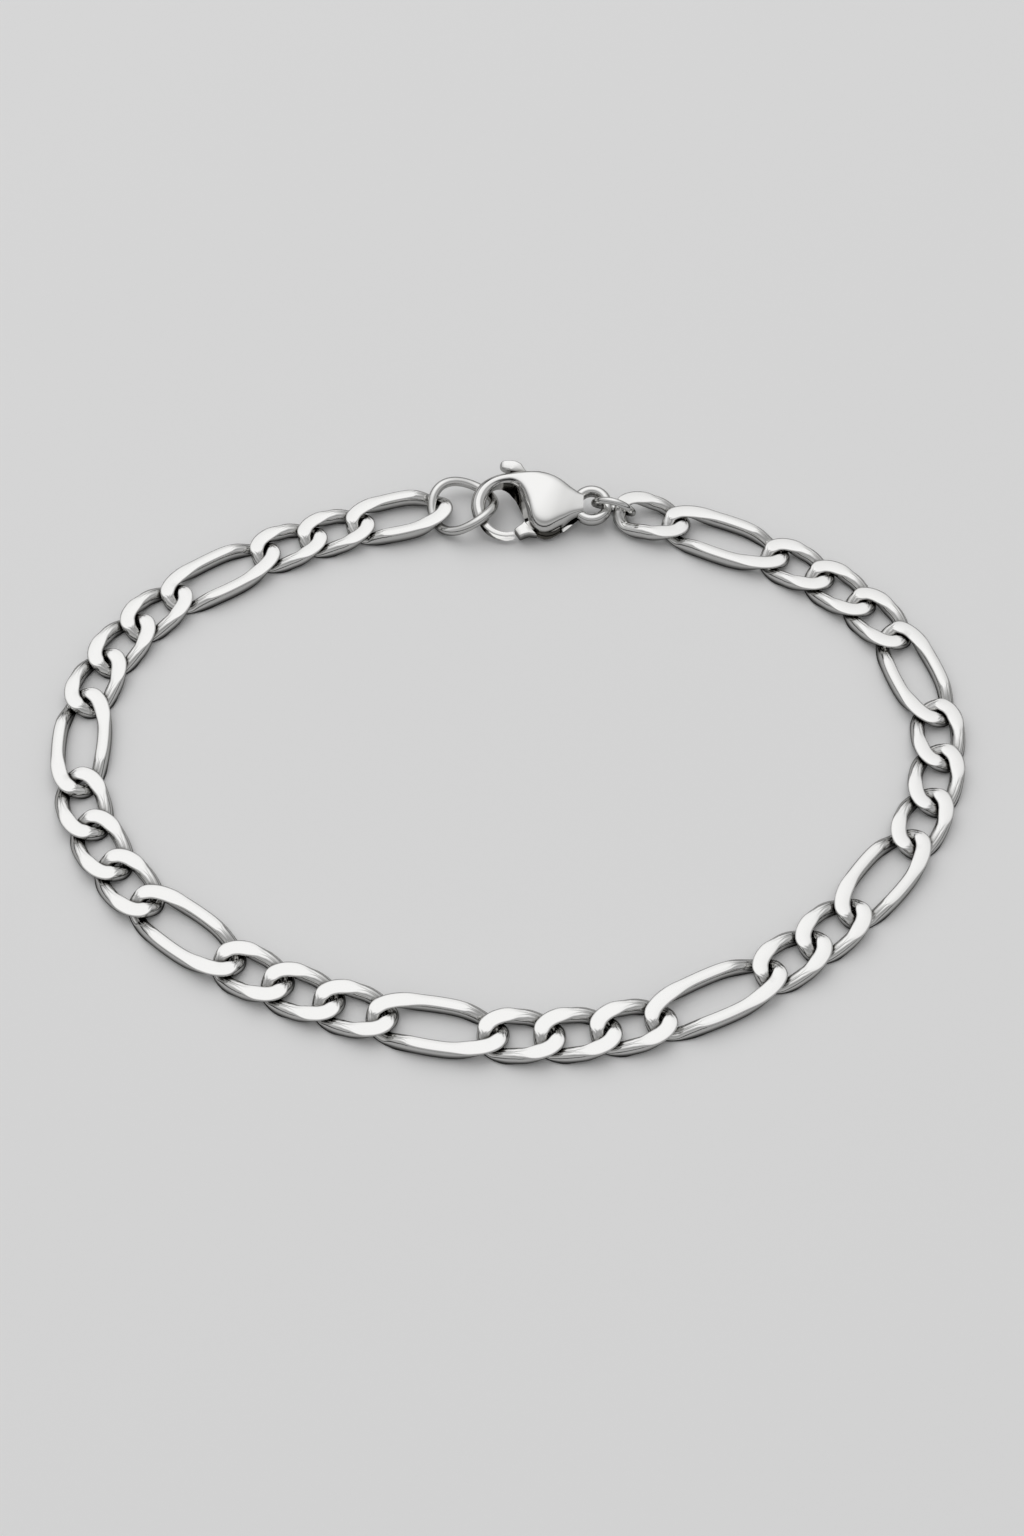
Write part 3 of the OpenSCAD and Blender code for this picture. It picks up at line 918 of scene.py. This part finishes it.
class BRACELET_OT_clasp_body(bpy.types.Operator):
    """Builds the clasp's body: hook, crowned bulb with its lever slot, neck and tail eye"""
    bl_idname = "bracelet.clasp_body"
    bl_label = "Clasp body"

    def execute(self, context):
        sizes = context.scene.bracelet_clasp
        length, width, thick = sizes.length / MM, sizes.width / MM, sizes.thickness / MM
        rings = (len(SECTIONS) - 1) * SECTION_FILL + 1 + TIP_RINGS

        def place(ring, corner):
            inward = max(TIP_RINGS - ring, 0)
            place_on = max(ring - TIP_RINGS, 0) / SECTION_FILL
            row = between_rows(SECTIONS, place_on)
            outer = Vector((row[0] * length, row[1] * width, 0))
            inner = Vector((row[2] * length, row[3] * width, 0))
            half = (outer - inner) / 2
            bulb = smooth_share(half.length, 0.75, 1.7)
            neck = smooth_share(row[2], 0.1, 0.28)
            x, z = crowned_corner(corner, half.length, mix(HOOK_SHOULDER, OUTER_SHOULDER, bulb),
                                  mix(mix(HOOK_SHOULDER, sizes.shoulder / MM, bulb), NECK_SHOULDER, neck))
            tip_turn = inward / TIP_RINGS * TIP_TURN
            shrink = math.cos(tip_turn)
            ahead = half.normalized().cross(Vector((0, 0, 1)))
            point = (outer + inner) / 2 + ahead * -TIP_REACH * math.sin(tip_turn)
            lower = smooth_share(-z, 0.0, 0.3) * smooth_share(-x, 0.0, 0.8)
            inside, top, right = (smooth_share(place_on, *grows) * (1 - smooth_share(place_on, *fades))
                                  for grows, fades in UNDERCUTS)
            point -= half.normalized() * lower * (INSIDE_CUT * inside + TOP_CUT * top + RIGHT_CUT * right)
            z *= 1 - lower * max(0.12, 0.28 * right)
            return point + x * half * shrink + Vector((0, 0, z * row[4] * thick * shrink))

        body = drawn_tube(rings, BODY_SIDES, place)

        eye_wall = (sizes.eye_outer - sizes.eye_hole) / MM / 4
        eye_middle = (sizes.eye_outer + sizes.eye_hole) / MM / 4
        eye_half = sizes.eye_height / MM / 2
        eye_at = Vector(((length - sizes.eye_outer / MM) / 2, EYE_SIDE, 0))

        def eye_place(turn, corner):
            angle = turn * math.tau / EYE_STEPS
            side = corner * math.tau / EYE_SIDES
            out = eye_middle + eye_wall * power(math.cos(side), EYE_ROUNDNESS)
            return eye_at + Vector((out * math.cos(angle), out * math.sin(angle),
                                    eye_half * power(math.sin(side), EYE_ROUNDNESS)))

        joined = apply_boolean(body, [spun_loop(EYE_STEPS, EYE_SIDES, eye_place)], "UNION")

        pivot, gate_tip, thumb_root = plane_points(sizes, PIVOT_SHARE, GATE_TIP, THUMB_ROOT)
        gate, thumb = gate_tip - pivot, thumb_root - pivot
        gate_angle = math.atan2(gate.y, gate.x) + math.tau
        thumb_angle = math.atan2(thumb.y, thumb.x)

        def arm(angle, reach, left):
            run = Vector((math.cos(angle), math.sin(angle)))
            return pivot + reach * run + left * Vector((-run.y, run.x))

        slot_half = sizes.slot / MM / 2
        thumb_slot = prism([arm(thumb_angle, 0, SLOT_SIDE), arm(thumb_angle - OPENING, 0, -SLOT_SIDE),
                            arm(thumb_angle - OPENING, length, -SLOT_SIDE),
                            arm(thumb_angle, length, SLOT_SIDE)], slot_half)
        gate_slot = prism([arm(gate_angle - OPENING, 0.3, -SLOT_SIDE),
                           arm(gate_angle - OPENING, length, -SLOT_SIDE),
                           arm(gate_angle, length, SLOT_SIDE), arm(GATE_SLOT_EDGE[0], length, 0),
                           arm(GATE_SLOT_EDGE[1], 1.0, 0)], slot_half)
        hollow = self.groove(sizes, HOLLOW_ROWS,
                             lambda share: mix(*HOLLOW_DEPTHS, smooth_share(share, 0, 0.45)),
                             lambda half_height: HOLLOW_HEIGHT * half_height - SHELL_WALL)
        wedge = self.groove(sizes, WEDGE_ROWS, lambda share: mix(*WEDGE_DEPTHS, share))
        for vert in wedge.verts:
            thinned = mix(*WEDGE_HEIGHTS, smooth_share(vert.co.x, 1.2, 3.2))
            vert.co.z = vert.co.z * thinned - WEDGE_DROP
        hub = upright_round(HUB_ROOM, slot_half, pivot)
        bore = upright_round(BODY_BORE, BORE_HALF, pivot)
        cut = apply_boolean(joined, [thumb_slot, gate_slot, hollow, wedge, hub, bore], "DIFFERENCE")
        crisp_edges(cut, BODY_CREASE)
        piece = finish_piece(cut, "polished_clasp_body", clasp_place(sizes), FIXED,
                             ("clasp_body",), "clasp_steel")
        mark_wear(piece, lambda vert: smooth_share(vert.co.z, *WORN_HEIGHTS))
        return {"FINISHED"}

    @staticmethod
    def groove(sizes, rows, depth, floor=None):
        """A block that cuts the body's inner edge between two rows, as deep as depth(share) there.

        Its floor is level, or drops to floor(half height of the body) at its back.
        """
        half_slot = sizes.slot / MM / 2
        block = bmesh.new()
        sections = []
        for k in range(GROOVE_STEPS):
            share = k / (GROOVE_STEPS - 1)
            row = between_rows(SECTIONS, mix(*rows, share))
            outer = Vector((row[0] * sizes.length, row[1] * sizes.width)) / MM
            inner = Vector((row[2] * sizes.length, row[3] * sizes.width)) / MM
            outward = (inner - outer).normalized()
            rim = inner + outward * GROOVE_RIM
            back = inner - outward * depth(share)
            low = max(floor(row[4] * sizes.thickness / MM), half_slot) if floor else half_slot
            corners = [(*rim, half_slot), (*back, half_slot), (*back, -low), (*rim, -half_slot)]
            sections.append([block.verts.new(corner) for corner in corners])
        for near, far in zip(sections, sections[1:]):
            for i in range(4):
                block.faces.new((near[i - 1], near[i], far[i], far[i - 1]))
        block.faces.new(sections[0])
        block.faces.new(sections[-1])
        bmesh.ops.recalc_face_normals(block, faces=block.faces[:])
        return block


class BRACELET_OT_clasp_lever(bpy.types.Operator):
    """Builds the sprung lever: gate, hub, thumb arm and nub"""
    bl_idname = "bracelet.clasp_lever"
    bl_label = "Clasp lever"

    def execute(self, context):
        sizes = context.scene.bracelet_clasp
        gate_half, plate_half = sizes.gate / MM / 2, sizes.plate / MM / 2
        pivot, gate_tip, root, end = plane_points(sizes, PIVOT_SHARE, GATE_TIP, THUMB_ROOT, THUMB_END)
        out = (gate_tip - pivot).normalized()
        reach = (gate_tip - pivot).length
        arm = (root - pivot).normalized()
        arm_l = (root - pivot).length
        gate_way = math.atan2(-out.y, -out.x)
        arm_way = math.atan2(arm.y, arm.x)

        # Columns: place, direction of travel, half width, half thickness
        stations = [
            (pivot + out * (reach - 0.06), gate_way, 0.34, gate_half - 0.12),
            (pivot + out * (reach - 0.06), gate_way, 0.44, gate_half - 0.03),
            (pivot + out * (reach - 0.11), gate_way, 0.49, gate_half),
            (pivot + out * (reach - 0.5), gate_way, 0.55, gate_half),
            (pivot + out * (reach - 0.9) + Vector((0.04, -0.05)), gate_way, 0.62, gate_half - 0.03),
            (pivot + out * 2.45 + Vector((0.13, -0.18)), gate_way + 0.12, 0.92, plate_half + 0.09),
            (pivot + out * 2.44, gate_way, 0.5, plate_half),
            (pivot + out * 1.2, gate_way, 0.5, plate_half),
            (pivot + out * 0.7, gate_way + 0.25, 0.8, plate_half),
            (pivot, (gate_way + arm_way) / 2, 0.93, plate_half),
            (pivot + arm * 0.7, arm_way - 0.25, 0.8, plate_half),
            (pivot + arm * 1.2, arm_way, 0.5, plate_half),
            (pivot + arm * (arm_l - 1.1), arm_way, 0.45, plate_half),
            (root + Vector((0.2, -0.42)), math.radians(108), 0.48, plate_half + 0.04),
            (root + Vector((-0.18, -0.14)), math.radians(128), 0.62, gate_half),
            (root + Vector((-0.42, 0.02)), math.radians(148), 0.56, gate_half),
            (root + Vector((-0.66, 0.08)), math.radians(166), 0.5, gate_half),
            (end + Vector((-0.1, 0.06)), NUB_WAY, 0.48, gate_half),
            (end + Vector((-0.38, 0.08)), NUB_WAY, 0.43, gate_half - 0.02),
            (end + Vector((-0.6, 0.09)), NUB_WAY, 0.34, gate_half - 0.08),
            (end + Vector((-0.75, 0.09)), NUB_WAY, 0.2, gate_half - 0.2),
            (end + Vector((-0.8, 0.09)), NUB_WAY, 0.08, gate_half - 0.36),
        ]

        def place(ring, corner):
            at, way, half_w, half_h = stations[ring]
            angle = corner * math.tau / LEVER_SIDES
            across, upward = (power(part, LEVER_SQUARENESS) for part in (math.cos(angle), math.sin(angle)))
            left = Vector((-math.sin(way), math.cos(way), 0))
            point = Vector((at.x, at.y, 0)) + left * half_w * across
            slope = GATE_SLOPE * (point.y - at.y) * smooth_share(5.5 - ring, 0, 2)
            point.z = half_h * upward - slope * smooth_share(math.sin(angle), 0, 0.25)
            return point

        lever = drawn_tube(len(stations), LEVER_SIDES, place)
        heel = prism([pivot + distance * Vector((math.cos(angle), math.sin(angle)))
                      for angle, distance in ((math.radians(turn), far) for turn, far in HEEL)], plate_half)
        joined = apply_boolean(lever, [heel], "UNION")
        cut = apply_boolean(joined, [upright_round(LEVER_BORE, 1.5, pivot)], "DIFFERENCE")
        crisp_edges(cut, LEVER_CREASE)
        piece = finish_piece(cut, "polished_clasp_lever", clasp_place(sizes), MOVING,
                             ("clasp_lever",), "lever_steel")
        mark_wear(piece, lambda vert: LEVER_WEAR)
        return {"FINISHED"}


class BRACELET_OT_clasp_pin(bpy.types.Operator):
    """Gives the pivot pin its steel"""
    bl_idname = "bracelet.clasp_pin"
    bl_label = "Clasp pin"

    def execute(self, context):
        pin = NODES["clasp_pin"]
        if not pin.material_slots:
            raise RuntimeError("the frame's clasp_pin has no material slot")
        for slot in pin.material_slots:
            slot.material = steels()["lever_steel"]
        return {"FINISHED"}


# Painted shade in recesses

# Share of the painted shade's reach within which it is full, and the same for a cavity's width
FULL_REACH = 0.15
FULL_CAVITY = 0.7
# Painted shade from the surface is weaker than from another piece: the steel's height over the surface
# counts this many times over as its gap
SURFACE_GAP = 1.6
# How far off its corner a ray starts, in metres
RAY_START = 0.01 * MM


class BRACELET_OT_painted_recess_shade(bpy.types.Operator):
    """Marks painted shade where each piece nearly touches another, the surface or itself, for the steel to
    read
    """
    bl_idname = "bracelet.tarnish"
    bl_label = "Tarnish in the recesses"

    def execute(self, context):
        reach = context.scene.bracelet_finish.painted_shade_reach
        cavity = context.scene.bracelet_finish.cavity
        pieces = [piece for piece in bpy.data.objects if piece.name.startswith("polished_")]
        forms = []
        for piece in pieces:
            corners = [vert.co for vert in piece.data.vertices]
            tree = BVHTree.FromPolygons(corners, [tuple(face.vertices) for face in piece.data.polygons])
            spots = np.array(corners)
            forms.append((tree, spots.min(axis=0), spots.max(axis=0), corners))
        for i, piece in enumerate(pieces):
            own, low, high, corners = forms[i]
            near = [tree for k, (tree, other_low, other_high, _) in enumerate(forms)
                    if k != i and (other_low < high + reach).all() and (other_high > low - reach).all()]
            shares = []
            for corner, vert in zip(corners, piece.data.vertices):
                gaps = [tree.find_nearest(corner, reach)[3] for tree in near]
                # Painted contact shadow: nearness to the surface darkens the steel too
                below = SURFACE_GAP * max(corner.z, 0)
                gap = min([gap for gap in gaps if gap is not None] + [reach, below])
                # Painted shade inside the piece's own cavities, found by a ray along each corner's normal
                across = own.ray_cast(corner + vert.normal * RAY_START, vert.normal, cavity)[3] or cavity
                unshaded = smooth_share(gap, FULL_REACH * reach, reach)
                shares.append(1 - unshaded * smooth_share(across, FULL_CAVITY * cavity, cavity))
            layer = piece.data.attributes.new("painted_shade", "FLOAT", "POINT")
            layer.data.foreach_set("value", shares)
        return {"FINISHED"}


# Studio

SURFACE_HALF = 1.5
# Scales of the surface's fine grain and of its broad clouds, and what each adds to its shade
GRAIN_SCALE, CLOUD_SCALE = 1800.0, 14.0
GRAIN_SHARE, CLOUD_SHARE = 0.3, 0.7
# Darkest shade of the surface, as a share of the lightest
DARK_SHARE = 0.975
# Distances from the steel at which its mirrored surface, darkened as painted shade, is darkest and lightest
NEAR_STEEL, CLEAR_OF_STEEL = 0.35 * MM, 1.5 * MM
# Room's brightness by height: straight down is 0 and straight up is 1
ROOM_STOPS = [(0.0, 0.2), (0.03, 0.02), (0.12, 0.03), (0.24, 0.4), (0.36, 0.5), (0.7, 0.36), (1.0, 0.3)]
# How far the wide light's brightest part reaches from its middle
DOME_CORE = math.radians(12)
KEY_SIZE = (0.9, 0.7)
KEY_PLACE = (-0.16, 0.36, 0.62)
# Photograph's long side in pixels, and the camera fitted to where its links cross: elevation, azimuth
# and roll, the point that it looks at, its distance, and its focal length in pixels
FRAME_LONG = 1536
CAMERA_ANGLES = [math.radians(angle) for angle in (57.89, 0.06, 0.05)]
CAMERA_TARGET = Vector((0.26, -1.57, 0)) * MM
CAMERA_DISTANCE = 209.4 * MM
FOCAL_PIXELS = 2464
SENSOR = 36.0
CLIP = (0.005, 20.0)


class BRACELET_OT_studio(bpy.types.Operator):
    """Builds the pale surface, the soft lights and the camera"""
    bl_idname = "bracelet.studio"
    bl_label = "Surface, lights and camera"

    def execute(self, context):
        look = context.scene.bracelet_studio
        self.surface(look)
        self.room(context.scene, look)
        self.key(look)
        self.camera(context.scene)
        context.scene.view_settings.view_transform = "Standard"
        return {"FINISHED"}

    @staticmethod
    def surface(look):
        """A pale surface that the steel mirrors darker than it is, and darkest close to the steel: painted
        shade in its reflections.
        """
        bm = bmesh.new()
        bmesh.ops.create_grid(bm, x_segments=1, y_segments=1, size=SURFACE_HALF)
        floor = mesh_object(bm, "surface")
        material, tree, shader = new_material("pale_paper")
        shader.inputs["Roughness"].default_value = 0.85
        shader.inputs["Specular IOR Level"].default_value = 0.15
        place = tree.nodes.new("ShaderNodeTexCoord").outputs["Object"]
        grain = noise_node(tree, place, GRAIN_SCALE, 4.0)
        cloud = noise_node(tree, place, CLOUD_SCALE, 2.0)
        spread = math_node(tree, "ADD", math_node(tree, "MULTIPLY", grain, GRAIN_SHARE),
                           math_node(tree, "MULTIPLY", cloud, CLOUD_SHARE))
        dark, shaded, mirrored = ([channel * share for channel in look.paper]
                                  for share in (DARK_SHARE, look.shaded, look.mirrored))
        # Painted shade: reflected in the steel, the surface is darker than it is, and darkest close to the
        # steel as a painted contact shadow
        path = tree.nodes.new("ShaderNodeLightPath")
        openness = ramp_node(tree, path.outputs["Ray Length"], NEAR_STEEL, CLEAR_OF_STEEL)
        reflection = mix_node(tree, openness, shaded, mirrored)
        plain = mix_node(tree, spread, dark, look.paper)
        seen = mix_node(tree, path.outputs["Is Glossy Ray"], plain, reflection)
        tree.links.new(seen, shader.inputs["Base Color"])
        bump_node(tree, shader, grain, 0.2, 0.01 * MM)
        floor.data.materials.append(material)

    @staticmethod
    def room(scene, look):
        """An even room with a wide soft light overhead: bright high up, dim low down."""
        world = bpy.data.worlds.new("room")
        world.use_nodes = True
        scene.world = world
        tree = world.node_tree
        background = tree.nodes["Background"]
        background.inputs["Strength"].default_value = look.sky
        place = tree.nodes.new("ShaderNodeTexCoord").outputs["Generated"]
        split = tree.nodes.new("ShaderNodeSeparateXYZ")
        tree.links.new(place, split.inputs[0])
        ramp = tree.nodes.new("ShaderNodeValToRGB")
        elements = ramp.color_ramp.elements
        for position, value in ROOM_STOPS:
            element = elements[-int(position)] if position in (0, 1) else elements.new(position)
            element.color = (value, value, value, 1)
        tree.links.new(split.outputs["Z"], ramp.inputs["Fac"])
        nearness = tree.nodes.new("ShaderNodeVectorMath")
        nearness.operation = "DOT_PRODUCT"
        tree.links.new(place, nearness.inputs[0])
        nearness.inputs[1].default_value = Vector(look.dome_at).normalized()
        glow = ramp_node(tree, nearness.outputs["Value"], math.cos(look.dome_reach), math.cos(DOME_CORE))
        light = mix_node(tree, glow, ramp.outputs["Color"], [look.dome] * 3)
        tree.links.new(light, background.inputs["Color"])

    @staticmethod
    def key(look):
        """A large soft light that the steel doesn't mirror."""
        light = bpy.data.lights.new("softbox", "AREA")
        light.shape = "RECTANGLE"
        light.size, light.size_y = KEY_SIZE
        light.energy = look.key_power
        lamp = add_object("softbox", light)
        lamp.visible_glossy = False
        lamp.location = KEY_PLACE
        lamp.rotation_euler = Vector(KEY_PLACE).to_track_quat("Z", "Y").to_euler()

    @staticmethod
    def camera(scene):
        """Looks at the bracelet as the photograph does."""
        elevation, azimuth, roll = CAMERA_ANGLES
        forward = Vector((math.sin(azimuth) * math.cos(elevation), math.cos(azimuth) * math.cos(elevation),
                          -math.sin(elevation)))
        right = Vector((math.cos(azimuth), -math.sin(azimuth), 0))
        up = right.cross(forward)
        rolled_right = math.cos(roll) * right + math.sin(roll) * up
        rolled_up = -math.sin(roll) * right + math.cos(roll) * up
        data = bpy.data.cameras.new("camera")
        data.sensor_width = SENSOR
        data.lens = SENSOR * FOCAL_PIXELS / FRAME_LONG
        data.clip_start, data.clip_end = CLIP
        camera = add_object("camera", data)
        turn = Matrix((rolled_right, rolled_up, -forward)).transposed().to_4x4()
        camera.matrix_world = Matrix.Translation(CAMERA_TARGET - forward * CAMERA_DISTANCE) @ turn
        scene.camera = camera


class BRACELET_PT_panel(bpy.types.Panel):
    """Lists the bracelet's pieces in the sidebar"""
    bl_idname = "BRACELET_PT_panel"
    bl_label = "Figaro bracelet"
    bl_space_type = "VIEW_3D"
    bl_region_type = "UI"
    bl_category = "Bracelet"

    def draw(self, context):
        for operator in OPERATORS:
            self.layout.operator(operator.bl_idname)


GROUPS = {
    "bracelet_chain": ChainSizes,
    "bracelet_rings": RingSizes,
    "bracelet_clasp": ClaspSizes,
    "bracelet_finish": SteelFinish,
    "bracelet_studio": StudioLook,
}
OPERATORS = [
    BRACELET_OT_links,
    BRACELET_OT_jump_rings,
    BRACELET_OT_clasp_body,
    BRACELET_OT_clasp_lever,
    BRACELET_OT_clasp_pin,
    BRACELET_OT_painted_recess_shade,
    BRACELET_OT_studio,
]


def register():
    for group in GROUPS.values():
        bpy.utils.register_class(group)
    for name, group in GROUPS.items():
        setattr(bpy.types.Scene, name, PointerProperty(type=group))
    for operator in OPERATORS:
        bpy.utils.register_class(operator)
    bpy.utils.register_class(BRACELET_PT_panel)


def unregister():
    bpy.utils.unregister_class(BRACELET_PT_panel)
    for operator in reversed(OPERATORS):
        bpy.utils.unregister_class(operator)
    for name, group in GROUPS.items():
        delattr(bpy.types.Scene, name)
        bpy.utils.unregister_class(group)


def main():
    register()
    for operator in OPERATORS:
        getattr(bpy.ops.bracelet, operator.bl_idname.removeprefix("bracelet."))()


if __name__ == "__main__":
    main()
